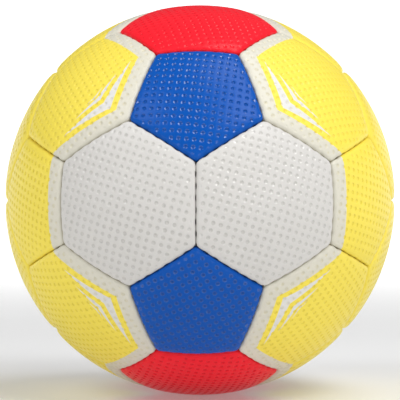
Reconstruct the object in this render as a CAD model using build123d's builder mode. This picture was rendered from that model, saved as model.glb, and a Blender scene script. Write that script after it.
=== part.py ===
"""A size 2 handball: 32 sewn cover panels on foam and cloth, round a bladder with its valve.

The ball's centre is the origin and +Z is up. The front of the ball faces -Y.
All lengths are in millimetres and all angles in degrees.
"""

from build123d import *
import os
from math import acos, atan, cos, degrees, pi, radians, sin, sqrt, tan

# Whole ball
ball_diameter = 175.0

# Cover panels: a skin with its edges turned in and sewn
cover_thickness = 1.3
edge_fold_radius = 1.3  # inside of the turned edge
stitch_land = 2.0  # straight depth of the turned edge below the fold
seam_gap = 0.5  # between the turned edges of two panels

# Layers under each panel
glue_line = 0.1
foam_thickness = 2.2
lining_thickness = 0.8
bladder_wall = 1.0

# Sewing
thread_diameter = 0.8
thread_clearance = 0.05  # round the thread in its holes and along the turned edge
thread_to_pad = 0.3
stitches_per_seam = 7
stitch_end_margin = 2.4  # from the last stitch to the seam's end
thread_tail = 2.2

# Valve
valve_neck_diameter = 9.0
valve_clearance = 0.15  # round the neck where it passes through the layers
valve_recess = 0.5  # neck top below the ball's surface
valve_depth = 16.0  # housing's inner end below the ball's surface
valve_flange_diameter = 22.0
valve_flange_thickness = 1.2
valve_patch_diameter = 26.0
core_head_diameter = 6.6
core_head_thickness = 1.2
core_stem_diameter = 5.0
core_clearance = 0.05
core_end_gap = 1.0  # stem end short of the housing's inner end
needle_bore_diameter = 2.2
needle_bore_depth = 9.0

# Radii of the layers, from the surface inwards
ball_radius = ball_diameter / 2
skin_inner_radius = ball_radius - cover_thickness
foam_outer_radius = skin_inner_radius - glue_line
foam_inner_radius = foam_outer_radius - foam_thickness
lining_outer_radius = foam_inner_radius - glue_line
lining_inner_radius = lining_outer_radius - lining_thickness
edge_roll_radius = edge_fold_radius + cover_thickness
edge_inner_radius = ball_radius - edge_roll_radius - stitch_land
bladder_outer_radius = min(edge_inner_radius, lining_inner_radius) - glue_line
bladder_inner_radius = bladder_outer_radius - bladder_wall
stitch_radius = edge_inner_radius + stitch_land / 2

# Distances from a seam's plane, which passes through the ball's centre
edge_outer_offset = seam_gap / 2
edge_inner_offset = edge_outer_offset + cover_thickness
thread_offset = edge_inner_offset + thread_clearance + thread_diameter / 2
thread_room = thread_clearance + thread_diameter + thread_to_pad
pad_offset = edge_inner_offset + max(edge_fold_radius, thread_room)

# Angles of the truncated icosahedron, seen from the ball's centre
golden = (1 + sqrt(5)) / 2
circumradius_per_edge = sqrt(9 * golden + 10) / 2
seam_half_angle = degrees(acos(sqrt(1 - (0.5 / circumradius_per_edge) ** 2)))


def panel_half_angle(sides):
    """Angle from a panel's centre to the middle of its edge, for a panel of that many sides."""
    apothem_per_edge = 0.5 / tan(pi / sides)
    corner_distance_per_edge = 0.5 / sin(pi / sides)
    height_per_edge = sqrt(circumradius_per_edge**2 - corner_distance_per_edge**2)
    return degrees(atan(apothem_per_edge / height_per_edge))


# Where the panels sit: the direction of each panel's centre, with x left to right and z up
HEXAGON = 6
PENTAGON = 5
SIDE_NAMES = {-1: "left", 1: "right"}
DEPTH_NAMES = {-1: "front", 1: "back"}
LEVEL_NAMES = {-1: "lower", 1: "upper"}
POLE_NAMES = {-1: "bottom", 1: "top"}

hexagon_directions = {}
pentagon_directions = {}
for depth, depth_name in DEPTH_NAMES.items():
    for side, side_name in SIDE_NAMES.items():
        hexagon_directions[f"white_hexagon_{depth_name}_{side_name}"] = Vector(side / golden, depth * golden, 0)
        pentagon_directions[f"yellow_pentagon_{side_name}_{depth_name}"] = Vector(side * golden, depth, 0)
        for level, level_name in LEVEL_NAMES.items():
            name = f"yellow_hexagon_{depth_name}_{level_name}_{side_name}"
            hexagon_directions[name] = Vector(side, depth, level)
    for pole, pole_name in POLE_NAMES.items():
        hexagon_directions[f"red_hexagon_{pole_name}_{depth_name}"] = Vector(0, depth / golden, pole * golden)
    for level, level_name in LEVEL_NAMES.items():
        pentagon_directions[f"blue_pentagon_{depth_name}_{level_name}"] = Vector(0, depth * golden, level)
for side, side_name in SIDE_NAMES.items():
    for level, level_name in LEVEL_NAMES.items():
        hexagon_directions[f"yellow_hexagon_{side_name}_{level_name}"] = Vector(side * golden, 0, level / golden)
    for pole, pole_name in POLE_NAMES.items():
        pentagon_directions[f"yellow_pentagon_{pole_name}_{side_name}"] = Vector(side, 0, pole * golden)

VALVE_PANEL = "blue_pentagon_back_upper"


def across(start, end):
    """Unit vector at right angles to start, on the way to end."""
    start = start.normalized()
    return (end - start * end.dot(start)).normalized()


def panel_place(direction, neighbours):
    """Plane at the ball's centre whose z axis is the panel's centre line and whose x axis meets an edge."""
    nearest = min(neighbours, key=direction.get_angle)
    return Plane(origin=(0, 0, 0), x_dir=across(direction, nearest), z_dir=direction)


def seam_place(hexagon, neighbour):
    """Plane at the ball's centre with z through the seam's middle, x along it and y towards the neighbour."""
    half_angle = radians(panel_half_angle(HEXAGON))
    centre = hexagon.normalized()
    towards = across(hexagon, neighbour)
    middle = centre * cos(half_angle) + towards * sin(half_angle)
    over = towards * cos(half_angle) - centre * sin(half_angle)
    return Plane(origin=(0, 0, 0), x_dir=over.cross(middle), z_dir=middle)


def touching_pairs(firsts, seconds, angle):
    """Pairs of panel directions that stand at the given angle, each pair once."""
    angle_tolerance = 1.0
    pairs = []
    for first in firsts:
        for second in seconds:
            already = (second, first) in pairs
            if not already and abs(first.get_angle(second) - angle) < angle_tolerance:
                pairs.append((first, second))
    return pairs


hexagons = list(hexagon_directions.values())
pentagons = list(pentagon_directions.values())
hexagon_places = {name: panel_place(d, pentagons) for name, d in hexagon_directions.items()}
pentagon_places = {name: panel_place(d, hexagons) for name, d in pentagon_directions.items()}
hexagon_angle = panel_half_angle(HEXAGON)
pentagon_angle = panel_half_angle(PENTAGON)
hexagon_hexagon_seams = [seam_place(*pair) for pair in touching_pairs(hexagons, hexagons, 2 * hexagon_angle)]
hexagon_pentagon_seams = [
    seam_place(*pair) for pair in touching_pairs(hexagons, pentagons, hexagon_angle + pentagon_angle)
]
valve_place = pentagon_places[VALVE_PANEL]

# Stitches along a seam, as angles from its middle
stitch_reach = seam_half_angle - degrees(stitch_end_margin / stitch_radius)
stitch_pitch = 2 * stitch_reach / (stitches_per_seam - 1)
stitch_angles = [-stitch_reach + i * stitch_pitch for i in range(stitches_per_seam)]


def seam_turns(sides):
    """Locations that put a seam at the top of the ball on each side of a panel, with x away from the panel."""
    lean = Location((0, 0, 0), (0, 1, 0), panel_half_angle(sides))
    return [Location((0, 0, 0), (0, 0, 1), side * 360 / sides) * lean for side in range(sides)]


def panel_block(sides, radius, offset):
    """Wedge of the ball under one panel, with its flat sides set in from the seam planes."""
    with BuildPart() as block:
        Sphere(radius, rotation=(90, 0, 0))
        for turn in seam_turns(sides):
            wall = Plane(turn * Location((-offset, 0, 0), (0, 1, 0), 90))
            split(bisect_by=wall, keep=Keep.BOTTOM)
    return block.part


def rim_ring(radius, offset, rim_radius):
    """Ring outside the rolled rim along one seam: what is turned off a ball with a flat cut at x = -offset."""
    across_rim = offset + rim_radius
    roll_height = sqrt((radius - rim_radius) ** 2 - across_rim**2)
    roll_centre = Vector(-across_rim, roll_height)
    wall_end = Vector(-offset, roll_height)
    skin_end = roll_centre.normalized() * radius
    roll_middle = roll_centre + ((wall_end - roll_centre) + (skin_end - roll_centre)).normalized() * rim_radius
    beyond = skin_end.normalized() * (radius + rim_radius)
    with BuildPart() as ring:
        with BuildSketch(Plane.XZ):
            with BuildLine():
                ThreePointArc(wall_end, roll_middle, skin_end)
                Polyline(skin_end, beyond, (offset, beyond.Y), (offset, roll_height), wall_end)
            make_face()
        revolve(axis=Axis.X)
    return ring.part


def rounded_block(sides, radius, offset, rim_radius):
    """The same wedge with its rim rolled over."""
    ring = rim_ring(radius, offset, rim_radius)
    with BuildPart() as block:
        add(panel_block(sides, radius, offset))
        for turn in seam_turns(sides):
            with Locations(turn):
                add(ring, mode=Mode.SUBTRACT)
    return block.part


def stitch_holes(sides):
    """Places of the stitch holes round a panel at the top of the ball, with x across the turned edge."""
    places = []
    for turn in seam_turns(sides):
        for angle in stitch_angles:
            along = Location((0, 0, 0), (1, 0, 0), angle)
            places.append(turn * along * Location((0, 0, stitch_radius)))
    return places


def turned_shell(sides):
    """One cover panel at the top of the ball: skin, rolled rim and turned edge with its stitch holes."""
    outside = rounded_block(sides, ball_radius, edge_outer_offset, edge_roll_radius)
    inside = rounded_block(sides, skin_inner_radius, edge_inner_offset, edge_fold_radius)
    with BuildPart() as shell:
        add(outside)
        add(inside, mode=Mode.SUBTRACT)
        Sphere(edge_inner_radius, mode=Mode.SUBTRACT)
        with Locations(*stitch_holes(sides)):
            Cylinder(
                thread_diameter / 2 + thread_clearance,
                2 * edge_inner_offset,
                rotation=(0, 90, 0),
                mode=Mode.SUBTRACT,
            )
    return shell.part


def layer(sides, outer_radius, inner_radius):
    """One sheet of the padding at the top of the ball, cut to fit inside a panel's turned edge."""
    with BuildPart() as sheet:
        add(panel_block(sides, outer_radius, pad_offset))
        Sphere(inner_radius, mode=Mode.SUBTRACT)
    return sheet.part


def finish(part, name):
    """Names a piece and writes it."""
    part.label = name
    export_step(part, f"parts/{name}.step")


os.makedirs("parts", exist_ok=True)

# Cover panels, one piece each
hexagon_shell = turned_shell(HEXAGON)
pentagon_shell = turned_shell(PENTAGON)
valve_hole_radius = valve_neck_diameter / 2 + valve_clearance
outwards = (Align.CENTER, Align.CENTER, Align.MIN)

for name, place in hexagon_places.items():
    with BuildPart() as hexagon_panel:
        with Locations(place):
            add(hexagon_shell)
    finish(hexagon_panel.part, name)

for name, place in pentagon_places.items():
    with BuildPart() as pentagon_panel:
        with Locations(place):
            add(pentagon_shell)
            if name == VALVE_PANEL:
                Cylinder(valve_hole_radius, ball_radius, align=outwards, mode=Mode.SUBTRACT)
    finish(pentagon_panel.part, name)

# Foam pads and linings, glued inside the panels
with BuildPart() as hexagon_foam_pads:
    with Locations(*hexagon_places.values()):
        add(layer(HEXAGON, foam_outer_radius, foam_inner_radius))
finish(hexagon_foam_pads.part, "hexagon_foam_pads")

with BuildPart() as hexagon_linings:
    with Locations(*hexagon_places.values()):
        add(layer(HEXAGON, lining_outer_radius, lining_inner_radius))
finish(hexagon_linings.part, "hexagon_linings")

with BuildPart() as pentagon_foam_pads:
    with Locations(*pentagon_places.values()):
        add(layer(PENTAGON, foam_outer_radius, foam_inner_radius))
    with Locations(valve_place):
        Cylinder(valve_hole_radius, ball_radius, align=outwards, mode=Mode.SUBTRACT)
finish(pentagon_foam_pads.part, "pentagon_foam_pads")

with BuildPart() as pentagon_linings:
    with Locations(*pentagon_places.values()):
        add(layer(PENTAGON, lining_outer_radius, lining_inner_radius))
    with Locations(valve_place):
        Cylinder(valve_patch_diameter / 2 + glue_line, ball_radius, align=outwards, mode=Mode.SUBTRACT)
finish(pentagon_linings.part, "pentagon_linings")


# Sewing thread: one length to a seam, in and out through the holes of both turned edges
def stitch_point(angle, side):
    """Point on the thread's line at an angle along the seam, on one side of it."""
    along = radians(angle)
    return (stitch_radius * sin(along), side * thread_offset, stitch_radius * cos(along))


tail_angle = degrees(thread_tail / stitch_radius)
side = -1
stitch_points = [stitch_point(stitch_angles[0] + tail_angle, side)]
for angle in stitch_angles:
    stitch_points.append(stitch_point(angle, side))
    side = -side
    stitch_points.append(stitch_point(angle, side))
stitch_points.append(stitch_point(stitch_angles[-1] - tail_angle, side))
tail_direction = Vector(*stitch_points[1]) - Vector(*stitch_points[0])

with BuildPart() as seam_thread:
    with BuildLine() as stitch_line:
        FilletPolyline(*stitch_points, radius=thread_diameter / 2 + 2 * thread_clearance)
    with BuildSketch(Plane(origin=stitch_points[0], z_dir=tail_direction)):
        Circle(thread_diameter / 2)
    sweep(path=stitch_line.wire())

with BuildPart() as hexagon_hexagon_threads:
    with Locations(*hexagon_hexagon_seams):
        add(seam_thread.part)
finish(hexagon_hexagon_threads.part, "hexagon_hexagon_seam_threads")

with BuildPart() as hexagon_pentagon_threads:
    with Locations(*hexagon_pentagon_seams):
        add(seam_thread.part)
finish(hexagon_pentagon_threads.part, "hexagon_pentagon_seam_threads")

# Bladder, with a round hole for the valve's neck
with BuildPart() as bladder:
    Sphere(bladder_outer_radius)
    Sphere(bladder_inner_radius, mode=Mode.SUBTRACT)
    with Locations(valve_place):
        Cylinder(valve_hole_radius, ball_radius, align=outwards, mode=Mode.SUBTRACT)
finish(bladder.part, "bladder")

# Cloth patch round the valve, in the lining's thickness
with BuildPart() as valve_patch:
    with Locations(valve_place):
        Cylinder(valve_patch_diameter / 2, ball_radius, align=outwards)
        Cylinder(valve_hole_radius, ball_radius, align=outwards, mode=Mode.SUBTRACT)
    Sphere(lining_outer_radius, mode=Mode.INTERSECT)
    Sphere(lining_inner_radius, mode=Mode.SUBTRACT)
finish(valve_patch.part, "valve_patch")

# Valve housing: a neck out through the layers, with a flange glued inside the bladder
flange_outer_radius = bladder_inner_radius - glue_line
housing_top = ball_radius - valve_recess
housing_bottom = ball_radius - valve_depth
core_seat_radius = core_head_diameter / 2 + core_clearance
core_seat_height = housing_top - core_head_thickness

with BuildPart() as valve_housing:
    with Locations(valve_place):
        Cylinder(valve_flange_diameter / 2, ball_radius, align=outwards)
    Sphere(flange_outer_radius, mode=Mode.INTERSECT)
    Sphere(flange_outer_radius - valve_flange_thickness, mode=Mode.SUBTRACT)
    with Locations(valve_place.offset(housing_bottom)):
        Cylinder(valve_neck_diameter / 2, housing_top - housing_bottom, align=outwards)
        Cylinder(
            core_stem_diameter / 2 + core_clearance, valve_depth, align=outwards, mode=Mode.SUBTRACT
        )
    with Locations(valve_place.offset(core_seat_height)):
        Cylinder(core_seat_radius, valve_depth, align=outwards, mode=Mode.SUBTRACT)
finish(valve_housing.part, "valve_housing")

# Valve core: a headed plug with a blind hole for the pump needle
with BuildPart() as valve_core:
    with Locations(valve_place.offset(housing_bottom + core_end_gap)):
        Cylinder(core_stem_diameter / 2, core_seat_height - housing_bottom - core_end_gap, align=outwards)
    with Locations(valve_place.offset(core_seat_height)):
        Cylinder(core_head_diameter / 2, core_head_thickness, align=outwards)
    with Locations(valve_place.offset(housing_top - needle_bore_depth)):
        Cylinder(needle_bore_diameter / 2, needle_bore_depth, align=outwards, mode=Mode.SUBTRACT)
finish(valve_core.part, "valve_core")
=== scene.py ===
"""Looks of a size 2 handball: 32 dimpled leather panels sewn over foam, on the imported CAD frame.

The ball's centre is the origin, +Z is up and the front of the ball faces -Y. Lengths are in metres.
"""

import logging
import math
from collections.abc import Callable, Iterator
from contextlib import contextmanager
from dataclasses import dataclass, field, replace
from enum import Enum
from functools import reduce
from itertools import product

import bpy
import numpy as np
from mathutils import Matrix, Vector


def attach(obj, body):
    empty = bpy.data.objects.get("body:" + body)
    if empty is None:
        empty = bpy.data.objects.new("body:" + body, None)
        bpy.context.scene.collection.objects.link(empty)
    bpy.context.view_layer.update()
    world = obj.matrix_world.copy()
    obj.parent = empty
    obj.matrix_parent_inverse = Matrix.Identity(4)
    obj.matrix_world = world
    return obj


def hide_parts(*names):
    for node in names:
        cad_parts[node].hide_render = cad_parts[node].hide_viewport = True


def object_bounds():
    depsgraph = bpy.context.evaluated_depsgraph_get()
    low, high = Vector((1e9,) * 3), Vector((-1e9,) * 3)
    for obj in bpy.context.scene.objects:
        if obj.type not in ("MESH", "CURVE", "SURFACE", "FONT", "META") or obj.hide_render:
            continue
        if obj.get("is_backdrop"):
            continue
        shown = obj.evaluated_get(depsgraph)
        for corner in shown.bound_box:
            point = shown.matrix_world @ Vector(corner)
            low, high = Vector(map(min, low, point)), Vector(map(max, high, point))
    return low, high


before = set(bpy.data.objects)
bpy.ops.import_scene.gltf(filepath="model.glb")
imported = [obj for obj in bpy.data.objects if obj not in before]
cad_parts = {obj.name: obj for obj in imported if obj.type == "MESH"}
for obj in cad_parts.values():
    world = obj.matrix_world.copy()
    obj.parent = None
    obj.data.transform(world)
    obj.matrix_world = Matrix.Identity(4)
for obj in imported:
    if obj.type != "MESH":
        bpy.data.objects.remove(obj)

MM = 0.001
GOLDEN = (1 + math.sqrt(5)) / 2
BODY = "root"
PIT = "pit"
WALL_TOP = 0.5
TINY = 1e-9
LOG = logging.getLogger("handball")

Piece = bpy.types.Object
Socket = bpy.types.NodeSocket
Material = bpy.types.Material
Colour = Direction = Point = tuple[float, float, float]
Place = Callable[[np.ndarray], np.ndarray]


# Small helpers for modelling


def unit(vector: np.ndarray) -> np.ndarray:
    """The vector, or each row of an array, at length one."""
    vector = np.asarray(vector, float)
    return vector / np.linalg.norm(vector, axis=-1, keepdims=True)


def smooth_step(values: np.ndarray, low: float, high: float) -> np.ndarray:
    """Rises smoothly from 0 at low to 1 at high."""
    share = np.clip((values - low) / (high - low), 0, 1)
    return share * share * (3 - 2 * share)


def select_only(piece: Piece | None) -> None:
    """Leaves one object selected and active, or none.

    Args:
        piece: the object to select.
    """
    bpy.ops.object.select_all(action="DESELECT")
    bpy.context.view_layer.objects.active = piece
    if piece is not None:
        piece.select_set(True)


@contextmanager
def editing(piece: Piece, select_mode: str = "VERT") -> Iterator[None]:
    """Edit mode on one object, with its whole mesh selected.

    Args:
        piece: the object to edit.
        select_mode: VERT, EDGE or FACE.
    """
    select_only(piece)
    bpy.ops.object.mode_set(mode="EDIT")
    bpy.ops.mesh.select_mode(type=select_mode)
    bpy.ops.mesh.select_all(action="SELECT")
    yield
    bpy.ops.object.mode_set(mode="OBJECT")


def read_points(piece: Piece) -> np.ndarray:
    """Corner points of a mesh, one row each."""
    flat = np.empty(3 * len(piece.data.vertices))
    piece.data.vertices.foreach_get("co", flat)
    return flat.reshape(-1, 3)


def write_points(piece: Piece, points: np.ndarray) -> None:
    """Moves the corner points of a mesh."""
    piece.data.vertices.foreach_set("co", points.ravel())
    piece.data.update()


def read_pits(piece: Piece) -> np.ndarray:
    """How deep in a pit each point is: 0 at its rim, WALL_TOP at its wall's top, 1 on its floor."""
    pits = np.empty(len(piece.data.vertices), np.float32)
    piece.data.attributes[PIT].data.foreach_get("value", pits)
    return pits


def write_pits(piece: Piece, pits: np.ndarray) -> None:
    """Keeps how deep in a pit each point is."""
    piece.data.attributes[PIT].data.foreach_set("value", pits.astype(np.float32))


def pick_open_edge() -> None:
    """Selects the open edge of the mesh that is in edit mode, in edge mode."""
    bpy.ops.mesh.select_all(action="DESELECT")
    others = ("extend", "use_wire", "use_multi_face", "use_non_contiguous", "use_verts")
    bpy.ops.mesh.select_non_manifold(**dict.fromkeys(others, False))


def extrude_open_edge(piece: Piece, place: Place) -> None:
    """Extrudes the open edge of a mesh and puts the new ring of points in its place.

    Args:
        piece: the object to extend.
        place: gives the new ring's points from the old ring's.
    """
    with editing(piece, "EDGE"):
        pick_open_edge()
        bpy.ops.mesh.extrude_region_move(TRANSFORM_OT_translate={"value": (0, 0, 0)})
    ring = np.empty(len(piece.data.vertices), bool)
    piece.data.vertices.foreach_get("select", ring)
    points = read_points(piece)
    points[ring] = place(points[ring])
    write_points(piece, points)


def round_ring(radius: float, height: float) -> Place:
    """A place for a ring round the z axis, at a radius and a height."""
    return lambda ring: unit(ring * (1, 1, 0)) * radius + (0, 0, height)


def own_copy(piece: Piece, name: str) -> Piece:
    """A copy of an object with a mesh of its own.

    Args:
        piece: the object to copy.
        name: the copy's name.

    Returns:
        The copy, linked to the scene.
    """
    copy = bpy.data.objects.new(name, piece.data.copy())
    copy.data.name = name
    bpy.context.scene.collection.objects.link(copy)
    return copy


def apply_modifier(piece: Piece, kind: str, **settings: object) -> None:
    """Adds a modifier to an object and applies it.

    Args:
        piece: the object to change.
        kind: the modifier's type.
        settings: the modifier's own settings.
    """
    modifier = piece.modifiers.new(kind.lower(), kind)
    for setting, value in settings.items():
        setattr(modifier, setting, value)
    select_only(piece)
    bpy.ops.object.modifier_apply(modifier=modifier.name)


def discard(piece: Piece) -> None:
    """Removes a helper object and its mesh."""
    mesh = piece.data
    bpy.data.objects.remove(piece)
    bpy.data.meshes.remove(mesh)


# Sizes and the layout of the panels


@dataclass(frozen=True)
class BallSizes:
    """Sizes that the pieces share."""

    radius: float = 87.5 * MM
    seam_gap: float = 0.6 * MM
    skin: float = 1.3 * MM
    fold: float = 0.5 * MM
    land: float = 2.5 * MM
    stitches: int = 7
    stitch_end_margin: float = 2.4 * MM

    @property
    def roll(self) -> float:
        """Outside radius of the rolled rim."""
        return self.fold + self.skin

    @property
    def edge_bottom(self) -> float:
        """Distance of the turned edge's end from the ball's centre."""
        return self.radius - self.roll - self.land

    @property
    def stitch_radius(self) -> float:
        """Distance of the stitches from the ball's centre."""
        return self.edge_bottom + self.land / 2

    @property
    def stitch_angles(self) -> np.ndarray:
        """Stitches along a seam, as angles from its middle."""
        half_seam = math.asin(1 / math.sqrt(9 * GOLDEN + 10))
        reach = half_seam - self.stitch_end_margin / self.stitch_radius
        return np.linspace(-reach, reach, self.stitches)


SIZES = BallSizes()
SIGNS = (-1, 1)
PENTAGONS = [
    turn
    for a, b in product(SIGNS, SIGNS)
    for turn in ((0, a * GOLDEN, b), (a * GOLDEN, b, 0), (b, 0, a * GOLDEN))
]
HEXAGONS = [
    turn
    for a, b in product(SIGNS, SIGNS)
    for turn in (
        (a / GOLDEN, b * GOLDEN, 0),
        (0, a / GOLDEN, b * GOLDEN),
        (b * GOLDEN, 0, a / GOLDEN),
    )
] + list(product(SIGNS, SIGNS, SIGNS))


class PanelShape(Enum):
    """The two shapes of panel, each with the angle from its centre to the middle of its edge."""

    HEXAGON = math.acos(math.sqrt(5) / 3) / 2
    PENTAGON = math.acos(GOLDEN**2 / math.sqrt(3 * (GOLDEN + 2))) - HEXAGON

    @classmethod
    def at(cls, direction: Direction) -> "PanelShape":
        """Shape of the panel in a direction."""
        return cls.PENTAGON if direction in PENTAGONS else cls.HEXAGON


@dataclass(frozen=True)
class Seam:
    """One side of a panel: a plane through the ball's centre.

    Attributes:
        out: the plane's normal, away from the panel.
        middle: direction of the seam's middle.
        along: direction along the seam.
    """

    out: np.ndarray
    middle: np.ndarray
    along: np.ndarray

    @classmethod
    def between(cls, panel: Direction, neighbour: Direction) -> "Seam":
        """The seam of two panels that touch.

        Args:
            panel: direction of the panel.
            neighbour: direction of the panel on the other side.

        Returns:
            The seam, with its normal towards the neighbour.
        """
        half_angle = PanelShape.at(panel).value
        centre = unit(panel)
        towards = unit(np.array(neighbour) - centre * (np.array(neighbour) @ centre))
        middle = centre * math.cos(half_angle) + towards * math.sin(half_angle)
        out = towards * math.cos(half_angle) - centre * math.sin(half_angle)
        return cls(out, middle, np.cross(out, middle))


def seams_round(panel: Direction) -> list[Seam]:
    """The seams round a panel.

    Args:
        panel: direction of the panel.

    Returns:
        One seam for each panel that touches it.
    """
    own, widest = math.radians(5), math.radians(45)
    others = HEXAGONS + PENTAGONS
    angles = [math.acos(np.clip(unit(other) @ unit(panel), -1, 1)) for other in others]
    touching = [other for other, angle in zip(others, angles) if own < angle < widest]
    return [Seam.between(panel, other) for other in touching]


# Materials


class Term:
    """A number that changes over a surface: wraps a socket, so shader maths reads as Python."""

    def __init__(self, board: "ShaderBoard", socket: Socket) -> None:
        """Keeps the board that new nodes go on."""
        self.board = board
        self.socket = socket

    def join(self, operation: str, *values: "Term | float") -> "Term":
        """The result of a Math node on the values."""
        node = self.board.node("ShaderNodeMath", {"operation": operation}, dict(enumerate(values)))
        return Term(self.board, node.outputs[0])

    def __add__(self, other: "Term | float") -> "Term":
        """Sum."""
        return self.join("ADD", self, other)

    __radd__ = __add__

    def __sub__(self, other: "Term | float") -> "Term":
        """Difference."""
        return self.join("SUBTRACT", self, other)

    def __rsub__(self, other: "Term | float") -> "Term":
        """Difference with the number first."""
        return self.join("SUBTRACT", other, self)

    def __mul__(self, other: "Term | float") -> "Term":
        """Product."""
        return self.join("MULTIPLY", self, other)

    __rmul__ = __mul__

    def __truediv__(self, other: "Term | float") -> "Term":
        """Quotient."""
        return self.join("DIVIDE", self, other)

    def __rtruediv__(self, other: "Term | float") -> "Term":
        """Quotient with the number first."""
        return self.join("DIVIDE", other, self)

    def __abs__(self) -> "Term":
        """Size without its sign."""
        return self.join("ABSOLUTE", self)

    def or_more(self, other: "Term | float") -> "Term":
        """The greater of two values."""
        return self.join("MAXIMUM", self, other)

    def rise(self, low: float, high: float) -> "Term":
        """Rises smoothly from 0 at low to 1 at high."""
        settings = {"interpolation_type": "SMOOTHSTEP", "clamp": True}
        node = self.board.node("ShaderNodeMapRange", settings, {0: self, 1: low, 2: high})
        return Term(self.board, node.outputs[0])


class ShaderBoard:
    """The nodes of one material, round a Principled shader that reads Object coordinates."""

    def __init__(self, name: str, **constants: float | Colour) -> None:
        """Starts a material.

        Args:
            name: the material's name.
            constants: shader sockets that are the same all over, with _ for a space in their names.
        """
        self.material = bpy.data.materials.new(name)
        self.material.use_nodes = True
        self.tree = self.material.node_tree
        self.tree.nodes.clear()
        sockets = {socket.replace("_", " "): value for socket, value in constants.items()}
        self.shader = self.node("ShaderNodeBsdfPrincipled", {}, sockets)
        self.node("ShaderNodeOutputMaterial", {}, {"Surface": self.shader.outputs[0]})
        self.position = self.node("ShaderNodeTexCoord").outputs["Object"]

    def feed(self, socket: Socket, value: object) -> None:
        """Links or sets a socket."""
        if isinstance(value, Term):
            value = value.socket
        if isinstance(value, Socket):
            self.tree.links.new(value, socket)
        elif isinstance(value, tuple) and socket.type == "RGBA":
            socket.default_value = (*value, 1)
        else:
            socket.default_value = value

    def node(
        self, kind: str, settings: dict | None = None, inputs: dict | None = None
    ) -> bpy.types.Node:
        """Adds a node.

        Args:
            kind: the node's type.
            settings: its own settings, set first.
            inputs: values or links of its sockets, by name or number.

        Returns:
            The node.
        """
        made = self.tree.nodes.new(kind)
        for setting, value in (settings or {}).items():
            setattr(made, setting, value)
        for socket, value in (inputs or {}).items():
            self.feed(made.inputs[socket], value)
        return made

    def vector_maths(self, operation: str, *vectors: object) -> bpy.types.Node:
        """A Vector Math node on the vectors."""
        settings = {"operation": operation}
        return self.node("ShaderNodeVectorMath", settings, dict(enumerate(vectors)))

    def dot(self, vector: Socket, direction: np.ndarray) -> Term:
        """How far a vector reaches in a direction."""
        node = self.vector_maths("DOT_PRODUCT", vector, tuple(float(part) for part in direction))
        return Term(self, node.outputs["Value"])

    def distance(self) -> Term:
        """Distance from the ball's centre."""
        return Term(self, self.vector_maths("LENGTH", self.position).outputs["Value"])

    def mirrored(self) -> Socket:
        """The place on the ball with x, y and z above zero."""
        return self.vector_maths("ABSOLUTE", self.position).outputs[0]

    def attribute(self, name: str) -> Term:
        """A value that the mesh itself carries."""
        node = self.node("ShaderNodeAttribute", {"attribute_name": name})
        return Term(self, node.outputs["Fac"])

    def noise(self, size: float, detail: float = 2) -> Term:
        """Cloudy noise from 0 to 1, with clouds of a size."""
        inputs = {"Vector": self.position, "Scale": 1 / size, "Detail": detail}
        return Term(self, self.node("ShaderNodeTexNoise", {}, inputs).outputs["Fac"])

    def cells(self, size: float) -> Term:
        """Distance from the middle of small irregular cells, in cells."""
        inputs = {"Vector": self.position, "Scale": 1 / size}
        node = self.node("ShaderNodeTexVoronoi", {"feature": "F1"}, inputs)
        return Term(self, node.outputs["Distance"])

    def mix(self, share: Term, first: Colour | Socket, second: Colour | Socket) -> Socket:
        """Colour between two, by the share of the second."""
        node = self.node("ShaderNodeMix", {"data_type": "RGBA"}, {0: share, 6: first, 7: second})
        return node.outputs[2]

    def finish(self, colour: Socket, roughness: Term, height: Term, relief: float) -> Material:
        """Feeds the shader.

        Args:
            colour: colour over the surface.
            roughness: roughness over the surface.
            height: fine relief, from 0 to 1.
            relief: how high the fine relief is.

        Returns:
            The finished material.
        """
        bump = self.node("ShaderNodeBump", {}, {"Height": height, "Distance": relief})
        self.feed(self.shader.inputs["Base Color"], colour)
        self.feed(self.shader.inputs["Roughness"], roughness)
        self.feed(self.shader.inputs["Normal"], bump.outputs[0])
        return self.material


@dataclass(frozen=True)
class Streak:
    """A printed chevron with tapered arms, on a panel's own plane: u runs to a corner, v across.

    Attributes:
        outer: u of its outer corner.
        inner: u of its inner corner.
        tip: u and v where its arms end in a point.
    """

    outer: float
    inner: float
    tip: tuple[float, float]


@dataclass(frozen=True)
class LeatherSurface:
    """What all the leathers share: shine, shade and the sizes of their fine structure.

    Attributes:
        foot: how far down in a pit the painted shade at the foot of its wall is deepest.
        floor_loss: how much of that shade the pit's floor loses.
        seam_depths: depths in a seam between which the painted shade sets in.
        pore_share: share of the pores in the fine relief, with the grains as the rest.
    """

    gloss: float = 0.12
    wall_ior: float = 1.7
    wall_roughness: float = 0.10
    foot: float = 0.75
    floor_loss: float = 0.8
    seam_depths: tuple[float, float] = (1.2 * MM, 3.2 * MM)
    painted_seam_shade: float = 0.35
    seam_roughness: float = 0.15
    clouds: float = 22 * MM
    cloud_shade: float = 0.12
    roughness: float = 0.25
    patches: float = 1.5 * MM
    patch_roughness: float = 0.08
    pores: float = 0.35 * MM
    pore_share: float = 0.6
    grains: float = 0.2 * MM
    relief: float = 0.02 * MM


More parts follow.
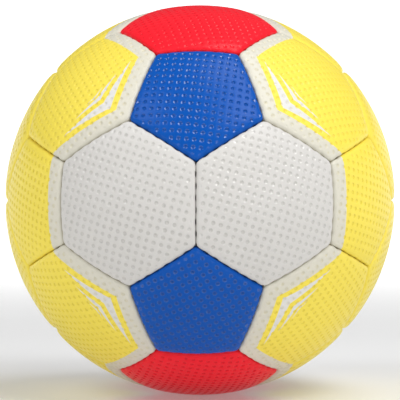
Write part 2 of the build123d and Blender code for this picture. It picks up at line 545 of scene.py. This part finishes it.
@dataclass(frozen=True)
class LeatherFinish:
    """Dimpled synthetic leather, with the pale border and streaks that some panels have.

    Attributes:
        slot: the record's material slot.
        colour: the print's colour.
        shade: the colour that its mottling darkens towards, and its painted shade in the pits
            and down in the seams.
        painted_pit_shade: how far the feet of the pits' walls take that colour, as painted shade.
        wall_gloss: how glossy the walls of the pits are.
        bordered: the panel's direction and those of the neighbours along which it has a border,
            in the octant where x, y and z are above zero, or None for none.
        streaks: the chevrons that point to the corner between the last two of those neighbours.
    """

    slot: str
    colour: Colour
    shade: Colour
    painted_pit_shade: float
    wall_gloss: float
    bordered: tuple | None = None
    streaks: tuple[Streak, ...] = ()
    border_colour: Colour = (0.66, 0.635, 0.54)
    streak_colour: Colour = (0.70, 0.69, 0.67)
    border_width: float = 6.8 * MM
    painted_pale_pit_shade: float = 0.2
    print_edge: float = 0.12 * MM
    surface: LeatherSurface = LeatherSurface()

    def border(self, board: ShaderBoard) -> Term:
        """Where the pale border is.

        Args:
            board: the material's nodes.

        Returns:
            1 on the border, 0 elsewhere.
        """
        panel, *neighbours = self.bordered
        mirrored = board.mirrored()
        start, end = self.border_width - self.print_edge, self.border_width + self.print_edge
        insets = [board.dot(mirrored, -Seam.between(panel, other).out) for other in neighbours]
        return reduce(Term.or_more, [1 - inset.rise(start, end) for inset in insets])

    def chevrons(self, board: ShaderBoard) -> Term:
        """Where the streaks are.

        Args:
            board: the material's nodes.

        Returns:
            1 on the streaks, 0 elsewhere.
        """
        panel, *_, first, second = self.bordered
        mirrored = board.mirrored()
        centre = unit(panel)
        corner = unit(panel) + unit(first) + unit(second)
        towards = unit(corner - centre * (corner @ centre))
        across = np.cross(centre, towards)
        height = board.dot(mirrored, centre)
        u = board.dot(mirrored, towards) * SIZES.radius / height
        v = abs(board.dot(mirrored, across)) * SIZES.radius / height
        edge = self.print_edge
        masks = []
        for streak in self.streaks:
            tip_u, tip_v = streak.tip
            outer = streak.outer - v * ((streak.outer - tip_u) / tip_v)
            inner = streak.inner - v * ((streak.inner - tip_u) / tip_v)
            masks.append((outer - u).rise(-edge, edge) * (u - inner).rise(-edge, edge))
        return reduce(Term.or_more, masks)

    def material(self, name: str) -> Material:
        """Makes the material.

        Args:
            name: the material's name.

        Returns:
            The material.
        """
        skin = self.surface
        board = ShaderBoard(
            name,
            Specular_IOR_Level=skin.gloss,
            Coat_Roughness=skin.wall_roughness,
            Coat_IOR=skin.wall_ior,
        )
        pits = board.attribute(PIT)
        wall = 1 - abs(pits / WALL_TOP - 1)
        # Painted shade: the foot of each pit's wall is darkened, and its floor a little, where
        # shade falls in a pit.
        foot = pits.rise(WALL_TOP, skin.foot) * (1 - pits.rise(skin.foot, 1) * skin.floor_loss)
        # Painted shade: points deep down in a seam are darkened, where shade falls between the
        # panels.
        seam = (SIZES.radius - board.distance()).rise(*skin.seam_depths)
        clouds = board.noise(skin.clouds, detail=3)
        # The clouds are the leather's own mottling; the pits add painted shade.
        mottle_and_painted_shade = clouds * skin.cloud_shade + foot * self.painted_pit_shade
        colour = board.mix(mottle_and_painted_shade, self.colour, self.shade)
        if self.bordered:
            # Painted shade in the pits of the pale border and streaks.
            painted_pale_shade = foot * self.painted_pale_pit_shade
            pale = board.mix(painted_pale_shade, self.border_colour, self.shade)
            colour = board.mix(self.border(board), colour, pale)
            if self.streaks:
                pale = board.mix(painted_pale_shade, self.streak_colour, self.shade)
                colour = board.mix(self.chevrons(board), colour, pale)
        # Darkens the colour down in the seams as painted shade.
        colour = board.mix(seam * skin.painted_seam_shade, colour, self.shade)
        board.feed(board.shader.inputs["Coat Weight"], wall * self.wall_gloss)
        patches = board.noise(skin.patches)
        roughness = skin.roughness + skin.patch_roughness * patches + skin.seam_roughness * seam
        grains = board.noise(skin.grains) * (1 - skin.pore_share)
        height = board.cells(skin.pores) * skin.pore_share + grains
        return board.finish(colour, roughness, height, skin.relief)


# 0.45 is how strong the yellow leather's painted pit shade is; 0.2 is its pits' wall gloss.
YELLOW = LeatherFinish("yellow_leather", (0.89, 0.73, 0.10), (0.62, 0.47, 0.035), 0.45, 0.2)


@dataclass(frozen=True)
class PlainFinish:
    """A finish of one colour, with its own fine structure, for what lies inside the ball.

    Attributes:
        slot: the record's material slot.
        colour: the main colour.
        shade: the colour in its hollows.
        grain: size of its fine structure.
        relief: how high the fine structure is.
        roughness: how matt it is.
        patches: size of its more matt patches, in grains.
        patch_roughness: how much more matt they are.
    """

    slot: str
    colour: Colour
    shade: Colour
    grain: float
    relief: float
    roughness: float
    patches: float = 6
    patch_roughness: float = 0.1

    def material(self) -> Material:
        """Makes the material."""
        board = ShaderBoard(self.slot)
        hollows = board.cells(self.grain)
        colour = board.mix(hollows, self.colour, self.shade)
        patches = board.noise(self.patches * self.grain)
        roughness = self.roughness + self.patch_roughness * patches
        return board.finish(colour, roughness, 1 - hollows, self.relief)


THREAD = PlainFinish("thread", (0.78, 0.77, 0.72), (0.45, 0.44, 0.40), 0.15 * MM, 0.03 * MM, 0.7)
FOAM = PlainFinish("foam", (0.70, 0.70, 0.66), (0.42, 0.42, 0.38), 0.5 * MM, 0.10 * MM, 0.85)
CLOTH = PlainFinish(
    "lining_cloth", (0.74, 0.72, 0.66), (0.48, 0.46, 0.40), 0.4 * MM, 0.06 * MM, 0.85
)
BLADDER = PlainFinish(
    "bladder_rubber", (0.03, 0.03, 0.03), (0.015, 0.015, 0.015), 0.8 * MM, 0.02 * MM, 0.45
)
VALVE = PlainFinish(
    "valve_rubber", (0.035, 0.035, 0.036), (0.015, 0.015, 0.016), 0.3 * MM, 0.02 * MM, 0.5
)


# The leather


@dataclass
class DimpledSheet:
    """Flat sheet of the leather: square rows of round pits with a small button in the middle."""

    pitch: float = 3.27 * MM
    rim_radius: float = 1.02 * MM
    wall_radius: float = 0.94 * MM
    floor_radius: float = 0.42 * MM
    rim_drop: float = 0.02 * MM
    pit_depth: float = 0.45 * MM
    button_rise: float = 0.06 * MM
    sides: int = 12
    reach: float = 40 * MM
    weld: float = 0.02 * MM

    def border_ring(self, ring: np.ndarray) -> np.ndarray:
        """A ring of points moved out to the square border of one pit's share of the sheet."""
        towards = unit(ring * (1, 1, 0))
        return towards * (self.pitch / 2 / np.abs(towards).max(1, keepdims=True))

    def build_pit(self) -> Piece:
        """One pit with its share of the sheet."""
        select_only(None)
        corner_turn = math.pi / 4 - math.pi / self.sides * 2
        bpy.ops.mesh.primitive_circle_add(
            vertices=self.sides,
            radius=self.floor_radius,
            fill_type="TRIFAN",
            rotation=(0, 0, corner_turn),
        )
        bpy.ops.object.transform_apply(location=False, rotation=True, scale=False)
        pit = bpy.context.object
        points = read_points(pit)
        points[:, 2] -= self.pit_depth
        button = np.linalg.norm(points[:, :2], axis=1) < self.floor_radius / 2
        points[button, 2] += self.button_rise
        write_points(pit, points)
        extrude_open_edge(pit, round_ring(self.wall_radius, -self.rim_drop))
        extrude_open_edge(pit, round_ring(self.rim_radius, 0))
        extrude_open_edge(pit, self.border_ring)
        rings = (0, self.floor_radius, self.wall_radius, self.rim_radius, self.pitch)
        depths = (1, 1, WALL_TOP, 0, 0)
        reach = np.linalg.norm(read_points(pit)[:, :2], axis=1)
        pit.data.attributes.new(PIT, "FLOAT", "POINT")
        write_pits(pit, np.interp(reach, rings, depths))
        return pit

    def build(self) -> Piece:
        """The whole sheet, centred on the origin and trimmed to its reach."""
        sheet = self.build_pit()
        sheet.name = "leather_sheet"
        count = math.ceil(2 * self.reach / self.pitch) + 1
        settings = {"count": count, "use_relative_offset": False, "use_constant_offset": True}
        for step in ((self.pitch, 0, 0), (0, self.pitch, 0)):
            apply_modifier(sheet, "ARRAY", **settings, constant_offset_displace=step)
        with editing(sheet):
            bpy.ops.mesh.remove_doubles(threshold=self.weld)
        points = read_points(sheet)
        points[:, :2] -= self.pitch * (count - 1) / 2
        write_points(sheet, points)
        beyond = np.linalg.norm(points[:, :2], axis=1) > self.reach
        with editing(sheet):
            bpy.ops.mesh.select_all(action="DESELECT")
        sheet.data.vertices.foreach_set("select", beyond)
        select_only(sheet)
        bpy.ops.object.mode_set(mode="EDIT")
        bpy.ops.mesh.delete(type="VERT")
        bpy.ops.object.mode_set(mode="OBJECT")
        return sheet


@dataclass
class CoverPanel:
    """One panel of the cover, with its rim rolled over, turned in and pinched at each stitch.

    Attributes:
        name: the CAD node that it stands for.
        direction: where its centre is.
        grain_turn: how far its rows of pits turn from level, in degrees.
        valve_hole: radius of its hole for the valve, or 0 for none.
        rim_rows: distances from the edge of the rows of points that the rolled rim needs.
        corner: how sharp its corners are, from 2 for well rounded.
        slack: how far the seam opens between each two stitches along it, from 0 to 1.
        tight_roll: radius of the rolled rim at a stitch.
        touch: what is left of half the seam's gap at a stitch.
        pinch_reach: how far in from the edge a stitch pulls the rim sideways.
        pucker: how far a stitch pulls the rim down.
        pucker_reach: how far in from the edge it does.
        stretched: distances from the edge between which the turned rim stretches the pits flat.
        puff: how far the padding lets the panel sink towards its edges.
        puff_reach: how far in from the edge it starts to.
        opening: distances from a stitch between which the seam opens.
        corner_passes: how often points outside a rounded corner are pulled back to it.
        back_rings: rings of points on the skin's inside, as shares of the way to its middle.
        shortest_edge: edges under this length are taken out.
        smooth_angle: steepest edge that is shaded smooth, in degrees.
    """

    name: str
    direction: Direction
    grain_turn: float
    valve_hole: float = 0
    rim_rows: tuple[float, ...] = (0.16 * MM, 0.45 * MM, 1.0 * MM, 1.7 * MM, 2.6 * MM)
    corner: int = 8
    slack: tuple[float, ...] = (1.0, 0.45, 0.8, 0.3, 0.9, 0.6)
    tight_roll: float = 1.55 * MM
    touch: float = 0.02 * MM
    pinch_reach: float = 1.4 * MM
    pucker: float = 0.12 * MM
    pucker_reach: float = 2.2 * MM
    stretched: tuple[float, float] = (0.8 * MM, 2.6 * MM)
    puff: float = 0.35 * MM
    puff_reach: float = 3.0 * MM
    opening: tuple[float, float] = (0.8 * MM, 1.9 * MM)
    corner_passes: int = 6
    back_rings: tuple[float, ...] = (0.25, 0.35, 0.5, 0.9)
    cut_tolerance: float = 0.001 * MM
    shortest_edge: float = 0.0002 * MM
    hole_sides: int = 64
    hole_depth: float = 12 * MM
    smooth_angle: float = 65
    piece: Piece | None = field(default=None, init=False)

    def __post_init__(self) -> None:
        """Works out the seams round the panel."""
        self.centre = unit(self.direction)
        self.seams = seams_round(self.direction)
        self.outs = np.array([seam.out for seam in self.seams])

    def wrap(self) -> None:
        """Wraps the flat sheet onto the ball.

        No operator maps a sheet onto a sphere, so its points are moved.
        """
        level = unit(np.cross((0, 0, 1), self.centre))
        up = np.cross(self.centre, level)
        turn = math.radians(self.grain_turn)
        rows = level * math.cos(turn) + up * math.sin(turn)
        columns = np.cross(self.centre, rows)
        points = read_points(self.piece)
        reach = np.linalg.norm(points[:, :2], axis=1)
        angles = reach / SIZES.radius
        outwards = np.outer(points[:, 0], rows) + np.outer(points[:, 1], columns)
        outwards /= np.maximum(reach, TINY)[:, None]
        directions = np.outer(np.cos(angles), self.centre) + np.sin(angles)[:, None] * outwards
        write_points(self.piece, directions * (SIZES.radius + points[:, 2])[:, None])

    def trim(self) -> None:
        """Cuts the sheet along the seams and adds the rows of points that the rim needs."""
        cuts = [(0, True)] + [(row, False) for row in self.rim_rows]
        with editing(self.piece):
            for (inset, clear), out in product(cuts, self.outs):
                bpy.ops.mesh.select_all(action="SELECT")
                bpy.ops.mesh.bisect(
                    plane_co=-out * (SIZES.seam_gap / 2 + inset),
                    plane_no=out,
                    clear_outer=clear,
                    threshold=self.cut_tolerance,
                )

    def insets(self, points: np.ndarray) -> np.ndarray:
        """Distance of each point in from each edge."""
        return -(points @ self.outs.T) - SIZES.seam_gap / 2

    def tightness(self, points: np.ndarray, nearest: np.ndarray) -> np.ndarray:
        """How tight the nearest seam is sewn at each point.

        Args:
            points: the points.
            nearest: number of the seam that is nearest to each.

        Returns:
            1 at a stitch, down to 0 between two stitches.
        """
        along = np.array([seam.along for seam in self.seams])[nearest]
        middle = np.array([seam.middle for seam in self.seams])[nearest]
        angles = np.arctan2((points * along).sum(1), (points * middle).sum(1))
        stitches = SIZES.stitch_angles
        from_stitch = np.abs(angles[:, None] - stitches).min(1) * SIZES.radius
        slack = np.interp(angles, (stitches[1:] + stitches[:-1]) / 2, self.slack)
        return 1 - slack * smooth_step(from_stitch, *self.opening)

    def roll_rim(self) -> None:
        """Rolls the rim over, rounds the corners and pulls the rim outwards at each stitch."""
        points = read_points(self.piece)
        stretch = smooth_step(self.insets(points).min(1), *self.stretched)
        write_pits(self.piece, read_pits(self.piece) * stretch)
        heights = SIZES.radius + (np.linalg.norm(points, axis=1) - SIZES.radius) * stretch
        nearest = self.insets(points).argmin(1)
        tight = self.tightness(points, nearest)
        roll = SIZES.roll + (self.tight_roll - SIZES.roll) * tight
        for _ in range(self.corner_passes):
            shares = np.clip(1 - self.insets(points) / roll[:, None], 0, None)
            crowding = np.linalg.norm(shares, self.corner, axis=1)
            pull = shares ** (self.corner - 1) @ self.outs
            excess = np.clip(crowding - 1, 0, None) * crowding ** (self.corner - 1)
            points -= pull * (roll * excess / np.maximum((pull**2).sum(1), TINY))[:, None]
        insets = self.insets(points)
        crowding = np.linalg.norm(np.clip(1 - insets / roll[:, None], 0, None), self.corner, axis=1)
        drop = roll - roll * np.sqrt(np.clip(1 - crowding**2, 0, None))
        inset = insets.min(1)
        drop += self.pucker * tight * np.exp(-((inset / self.pucker_reach) ** 2))
        drop += self.puff * (1 - np.prod(1 - np.exp(-((insets / self.puff_reach) ** 2)), axis=1))
        pinch = np.exp(-((inset / self.pinch_reach) ** 2))
        shift = (SIZES.seam_gap / 2 - self.touch) * tight * pinch
        points = unit(points) * (heights - drop)[:, None] + self.outs[nearest] * shift[:, None]
        write_points(self.piece, points)

    def ring_at(self, inset: float, radius: float) -> Place:
        """A place for a ring: set in towards the panel's middle, at a height.

        Args:
            inset: share of the way to the panel's middle.
            radius: distance from the ball's centre.

        Returns:
            The function that places the ring.
        """

        def place(ring: np.ndarray) -> np.ndarray:
            """Puts the ring in its place."""
            level = ring / (ring @ self.centre)[:, None]
            return unit(self.centre + (level - self.centre) * (1 - inset)) * radius

        return place

    def close_back(self) -> None:
        """Turns the edge in and closes the panel with the inside of its skin."""
        width = math.tan(PanelShape.at(self.direction).value) * SIZES.radius
        under_skin = SIZES.radius - SIZES.skin
        places = [
            self.ring_at(0, SIZES.edge_bottom),
            self.ring_at(SIZES.skin / width, SIZES.edge_bottom),
            self.ring_at(0, under_skin - SIZES.fold),
            self.ring_at(SIZES.fold / width, under_skin),
        ]
        places += [self.ring_at(share, under_skin) for share in self.back_rings]
        for place in places:
            extrude_open_edge(self.piece, place)
        with editing(self.piece, "EDGE"):
            pick_open_edge()
            bpy.ops.mesh.merge(type="COLLAPSE")
            bpy.ops.mesh.select_all(action="SELECT")
            bpy.ops.mesh.dissolve_degenerate(threshold=self.shortest_edge)
            bpy.ops.mesh.select_all(action="SELECT")
            bpy.ops.mesh.normals_make_consistent(inside=False)

    def cut_valve_hole(self) -> None:
        """Cuts the round hole for the valve's neck."""
        select_only(None)
        bpy.ops.mesh.primitive_cylinder_add(
            vertices=self.hole_sides,
            radius=self.valve_hole,
            depth=self.hole_depth,
            location=self.centre * SIZES.radius,
            rotation=Vector(self.centre).to_track_quat("Z", "Y").to_euler(),
        )
        cutter = bpy.context.object
        apply_modifier(
            self.piece, "BOOLEAN", object=cutter, operation="DIFFERENCE", solver="EXACT"
        )
        discard(cutter)

    def build(self, sheet: Piece) -> None:
        """Makes the panel from the flat sheet.

        Args:
            sheet: the flat sheet of leather.
        """
        self.piece = own_copy(sheet, f"{self.name}_leather")
        self.wrap()
        self.trim()
        self.roll_rim()
        self.close_back()

    def build_from(self, other: "CoverPanel") -> None:
        """Makes the panel as a copy of the one on the other side of the ball, turned half round.

        Args:
            other: the panel to copy.
        """
        self.piece = own_copy(other.piece, f"{self.name}_leather")
        self.piece.data.transform(Matrix.Rotation(math.pi, 4, "Z"))
        if self.valve_hole:
            self.cut_valve_hole()

    def dress(self, finish: LeatherFinish, material: Material) -> None:
        """Smooths the panel, gives it its leather and puts it in place of its CAD node.

        Args:
            finish: the leather; not used.
            material: the leather's material for this panel.
        """
        select_only(self.piece)
        bpy.ops.object.shade_smooth_by_angle(angle=math.radians(self.smooth_angle))
        self.piece.data.materials.clear()
        self.piece.data.materials.append(material)
        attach(self.piece, BODY)
        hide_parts(self.name)


class PanelKind(Enum):
    """Panels that share a print."""

    # The fourth number of each finish is how strong its painted pit shade is; the fifth is its
    # pits' wall gloss.
    WHITE = LeatherFinish("white_leather", (0.635, 0.62, 0.595), (0.40, 0.38, 0.34), 0.3, 1.0)
    BLUE = LeatherFinish("blue_leather", (0.003, 0.083, 0.41), (0.001, 0.030, 0.15), 0.55, 0.8)
    RED = LeatherFinish("red_leather", (0.90, 0.016, 0.03), (0.50, 0.006, 0.012), 0.5, 0.1)
    YELLOW_PLAIN = YELLOW
    YELLOW_DIAGONAL = replace(
        YELLOW,
        bordered=((1, 1, 1), (0, 1 / GOLDEN, GOLDEN), (0, GOLDEN, 1), (1 / GOLDEN, GOLDEN, 0)),
        streaks=(
            Streak(26.4 * MM, 21.2 * MM, (13.1 * MM, 22.5 * MM)),
            Streak(18.35 * MM, 16.2 * MM, (13.6 * MM, 13.5 * MM)),
            Streak(15.0 * MM, 14.4 * MM, (13.5 * MM, 6.0 * MM)),
        ),
    )
    YELLOW_SIDE = replace(YELLOW, bordered=((GOLDEN, 1, 0), (1 / GOLDEN, GOLDEN, 0)))
    YELLOW_POLE = replace(YELLOW, bordered=((1, 0, GOLDEN), (0, 1 / GOLDEN, GOLDEN)))


@dataclass
class Cover:
    """The 32 panels: half of them modelled, the others copied from these, half a turn round."""

    valve_panel: str = "blue_pentagon_back_upper"
    valve_hole: float = 4.65 * MM

    def plan(self) -> list[tuple[PanelKind, str, Direction, float]]:
        """The panels of the modelled half: kind, name, direction and turn of the grain."""
        low, high = 1 / GOLDEN, GOLDEN
        white, blue, red, plain, diagonal, side, pole = PanelKind
        return [
            (white, "white_hexagon_front_left", (-low, -high, 0), 73),
            (white, "white_hexagon_front_right", (low, -high, 0), 73),
            (blue, "blue_pentagon_front_upper", (0, -high, 1), 83.5),
            (blue, "blue_pentagon_front_lower", (0, -high, -1), 28.5),
            (red, "red_hexagon_top_front", (0, -low, high), 13.5),
            (red, "red_hexagon_bottom_front", (0, -low, -high), 77),
            (diagonal, "yellow_hexagon_front_upper_left", (-1, -1, 1), 53.5),
            (diagonal, "yellow_hexagon_front_upper_right", (1, -1, 1), 9),
            (diagonal, "yellow_hexagon_front_lower_left", (-1, -1, -1), 6),
            (diagonal, "yellow_hexagon_front_lower_right", (1, -1, -1), 54),
            (side, "yellow_pentagon_left_front", (-high, -1, 0), 73.5),
            (side, "yellow_pentagon_right_front", (high, -1, 0), 78.5),
            (pole, "yellow_pentagon_top_left", (-1, 0, high), 38),
            (pole, "yellow_pentagon_bottom_left", (-1, 0, -high), 21),
            (plain, "yellow_hexagon_left_upper", (-high, 0, low), 64),
            (plain, "yellow_hexagon_left_lower", (-high, 0, -low), 15),
        ]

    @staticmethod
    def half_round(name: str) -> str:
        """Name of the panel that is half a turn round the ball from another."""
        swaps = {"front": "back", "back": "front", "left": "right", "right": "left"}
        return "_".join(swaps.get(word, word) for word in name.split("_"))

    def build(self) -> None:
        """Builds and dresses all the panels."""
        materials = {
            kind: kind.value.material(f"{kind.name.lower()}_leather") for kind in PanelKind
        }
        sheet = DimpledSheet().build()
        for kind, name, direction, grain_turn in self.plan():
            panel = CoverPanel(name, direction, grain_turn)
            panel.build(sheet)
            x, y, z = direction
            other_name = self.half_round(name)
            hole = self.valve_hole if other_name == self.valve_panel else 0
            other = CoverPanel(other_name, (-x, -y, z), grain_turn, hole)
            other.build_from(panel)
            for made in (panel, other):
                made.dress(kind.value, materials[kind])
                LOG.info("%s: %d faces", made.piece.name, len(made.piece.data.polygons))
        discard(sheet)


# The sewing and what lies inside


@dataclass
class Sewing:
    """The thread: one length to a seam, in and out through the turned edges of both panels."""

    thread_radius: float = 0.4 * MM
    offset: float = 2.0 * MM
    tail: float = 2.2 * MM
    curve_order: int = 3
    curve_steps: int = 3
    round_steps: int = 1
    same_way: float = 0.9999
    finish: PlainFinish = THREAD

    def path(self) -> list[Point]:
        """Points of the thread's line along a seam at the top of the ball, which runs along x."""
        angles = SIZES.stitch_angles
        tail_angle = self.tail / SIZES.stitch_radius
        stops = [(angles[0] + tail_angle, -1)]
        side = -1
        for angle in angles:
            stops += [(angle, side), (angle, -side)]
            side = -side
        stops.append((angles[-1] - tail_angle, side))
        radius = SIZES.stitch_radius
        return [(radius * math.sin(a), s * self.offset, radius * math.cos(a)) for a, s in stops]

    def build_length(self) -> Piece:
        """One length of thread at the top of the ball."""
        select_only(None)
        bpy.ops.curve.primitive_nurbs_path_add()
        thread = bpy.context.object
        line = thread.data
        line.splines.clear()
        spline = line.splines.new("NURBS")
        points = self.path()
        spline.points.add(len(points) - 1)
        for point, place in zip(spline.points, points):
            point.co = (*place, 1)
        spline.order_u = self.curve_order
        spline.use_endpoint_u = True
        spline.resolution_u = self.curve_steps
        line.bevel_depth = self.thread_radius
        line.bevel_resolution = self.round_steps
        line.use_fill_caps = True
        select_only(thread)
        bpy.ops.object.convert(target="MESH")
        return bpy.context.object

    def is_hexagon(self, direction: np.ndarray) -> bool:
        """True where a hexagon has its centre in that direction."""
        return bool((unit(np.array(HEXAGONS)) @ direction).max() > self.same_way)

    def seams(self) -> dict[str, list[Seam]]:
        """The seams that the thread of each CAD node is in.

        Returns:
            Seams by the node's name, each seam once.
        """
        between_hexagons = []
        for panel in HEXAGONS:
            centre = unit(panel)
            for seam in seams_round(panel):
                neighbour = unit(seam.middle * (seam.middle @ centre) * 2 - centre)
                if self.is_hexagon(neighbour) and tuple(neighbour) >= tuple(centre):
                    between_hexagons.append(seam)
        round_pentagons = [seam for panel in PENTAGONS for seam in seams_round(panel)]
        return {
            "hexagon_pentagon_seam_threads": round_pentagons,
            "hexagon_hexagon_seam_threads": between_hexagons,
        }

    def build(self) -> None:
        """Lays a length of thread in each seam and puts it in place of the CAD thread."""
        length = self.build_length()
        material = self.finish.material()
        for node, seams in self.seams().items():
            lengths = []
            for seam in seams:
                laid = own_copy(length, f"{node}_{len(lengths)}")
                axes = np.column_stack([seam.along, seam.out, seam.middle])
                laid.data.transform(Matrix(axes.tolist()).to_4x4())
                lengths.append(laid)
            whole = lengths[0]
            select_only(whole)
            for laid in lengths:
                laid.select_set(True)
            bpy.ops.object.join()
            whole.name = f"{node}_sewn"
            select_only(whole)
            bpy.ops.object.shade_smooth()
            whole.data.materials.append(material)
            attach(whole, BODY)
            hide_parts(node)
            LOG.info("%s: %d lengths", whole.name, len(lengths))
        discard(length)


@dataclass
class Inside:
    """The layers and the valve, which keep their CAD shapes and get their finishes."""

    finishes: tuple[tuple[PlainFinish, tuple[str, ...]], ...] = (
        (FOAM, ("hexagon_foam_pads", "pentagon_foam_pads")),
        (CLOTH, ("hexagon_linings", "pentagon_linings", "valve_patch")),
        (BLADDER, ("bladder",)),
        (VALVE, ("valve_housing", "valve_core")),
    )

    def dress(self) -> None:
        """Gives each CAD node its finish."""
        for finish, nodes in self.finishes:
            material = finish.material()
            for node in nodes:
                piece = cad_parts[node]
                piece.data.materials.clear()
                piece.data.materials.append(material)
                LOG.info("%s: %s", node, finish.slot)


# The studio


@dataclass(frozen=True)
class SoftLight:
    """A square soft light that faces the ball, with its power in watts."""

    name: str
    place: Point
    width: float
    power: float

    def build(self) -> None:
        """Adds the light."""
        bpy.ops.object.light_add(type="AREA", location=self.place)
        light = bpy.context.object
        light.name = self.name
        light.data.shape = "SQUARE"
        light.data.size = self.width
        light.data.energy = self.power
        light.rotation_euler = (-Vector(self.place)).to_track_quat("-Z", "Y").to_euler()


@dataclass
class Studio:
    """White table that is lit from inside, three soft lights above, and the camera."""

    table_radius: float = 2.4
    table_sides: int = 96
    table_colours: tuple[Colour, Colour] = ((0.72, 0.72, 0.72), (0.66, 0.66, 0.66))
    table_clouds: float = 0.5
    cloud_share: float = 0.05
    table_roughness: tuple[float, float] = (0.7, 0.1)
    table_relief: float = 0.01 * MM
    table_glow: float = 0.9
    near_and_far_glow: tuple[Colour, Colour] = ((0.20, 0.20, 0.20), (1.0, 1.0, 1.0))
    glow_reach: tuple[float, float] = (0.3, 1.4)
    sweep: float = 0.7
    sweep_steps: int = 8
    lights: tuple[SoftLight, ...] = (
        SoftLight("right_light", (0.85, -0.95, 1.35), 0.8, 16.5),
        SoftLight("left_light", (-1.00, -0.80, 1.30), 0.8, 10.2),
        SoftLight("top_light", (0.45, -0.20, 1.50), 0.7, 9.2),
    )
    round_light: float = 0.13
    camera_distance: float = 0.984
    yaw: float = 1.15
    pitch: float = 1.14
    image_width: int = 400
    ball_pixels: float = 194.8
    sensor_width: float = 36

    def build_table(self) -> None:
        """The round white table, lit from inside, with its rim swept up all round."""
        select_only(None)
        bpy.ops.mesh.primitive_circle_add(
            vertices=self.table_sides, radius=self.table_radius, fill_type="TRIFAN"
        )
        table = bpy.context.object
        table.name = "studio_table"
        write_points(table, read_points(table) - (0, 0, SIZES.radius))
        for step in range(1, self.sweep_steps + 1):
            angle = math.pi / 2 * step / self.sweep_steps
            radius = self.table_radius + self.sweep * math.sin(angle)
            height = self.sweep * (1 - math.cos(angle)) - SIZES.radius
            extrude_open_edge(table, round_ring(radius, height))
        select_only(table)
        bpy.ops.object.shade_smooth()
        board = ShaderBoard("studio_table", Emission_Strength=self.table_glow)
        near_or_far = board.distance().rise(*self.glow_reach)
        glow = board.mix(near_or_far, *self.near_and_far_glow)
        board.feed(board.shader.inputs["Emission Color"], glow)
        clouds = board.noise(self.table_clouds)
        colour = board.mix(clouds * self.cloud_share, *self.table_colours)
        matt, more = self.table_roughness
        material = board.finish(colour, matt + more * clouds, clouds, self.table_relief)
        table.data.materials.append(material)
        table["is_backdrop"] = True

    def build_lights(self) -> None:
        """The soft lights and the pale light from all round."""
        for light in self.lights:
            light.build()
        world = bpy.data.worlds.new("studio_light")
        bpy.context.scene.world = world
        world.use_nodes = True
        background = world.node_tree.nodes["Background"]
        background.inputs["Color"].default_value = (1, 1, 1, 1)
        background.inputs["Strength"].default_value = self.round_light

    def build_camera(self) -> None:
        """The camera, at the photograph's angle and distance."""
        yaw = math.radians(self.yaw)
        pitch = math.radians(self.pitch)
        level = math.cos(pitch)
        towards = Vector((level * math.sin(yaw), -level * math.cos(yaw), math.sin(pitch)))
        bpy.ops.object.camera_add(location=towards * self.camera_distance)
        camera = bpy.context.object
        camera.rotation_euler = (-towards).to_track_quat("-Z", "Y").to_euler()
        radii = self.camera_distance / SIZES.radius
        focal_pixels = self.ball_pixels * math.sqrt(radii**2 - 1)
        camera.data.sensor_width = self.sensor_width
        camera.data.lens = self.sensor_width * focal_pixels / self.image_width
        bpy.context.scene.camera = camera

    def build(self) -> None:
        """Builds table, lights and camera."""
        self.build_table()
        self.build_lights()
        self.build_camera()
        bpy.context.scene.view_settings.view_transform = "Standard"


def main() -> None:
    """Builds the ball on its frame, then the studio."""
    logging.basicConfig(level=logging.INFO, format="%(message)s")
    cad_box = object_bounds()
    Cover().build()
    Sewing().build()
    Inside().dress()
    Studio().build()
    boxes = {"cad": cad_box, "visual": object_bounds()}
    {name: [list(corner) for corner in box] for name, box in boxes.items()}


if __name__ == "__main__":
    main()
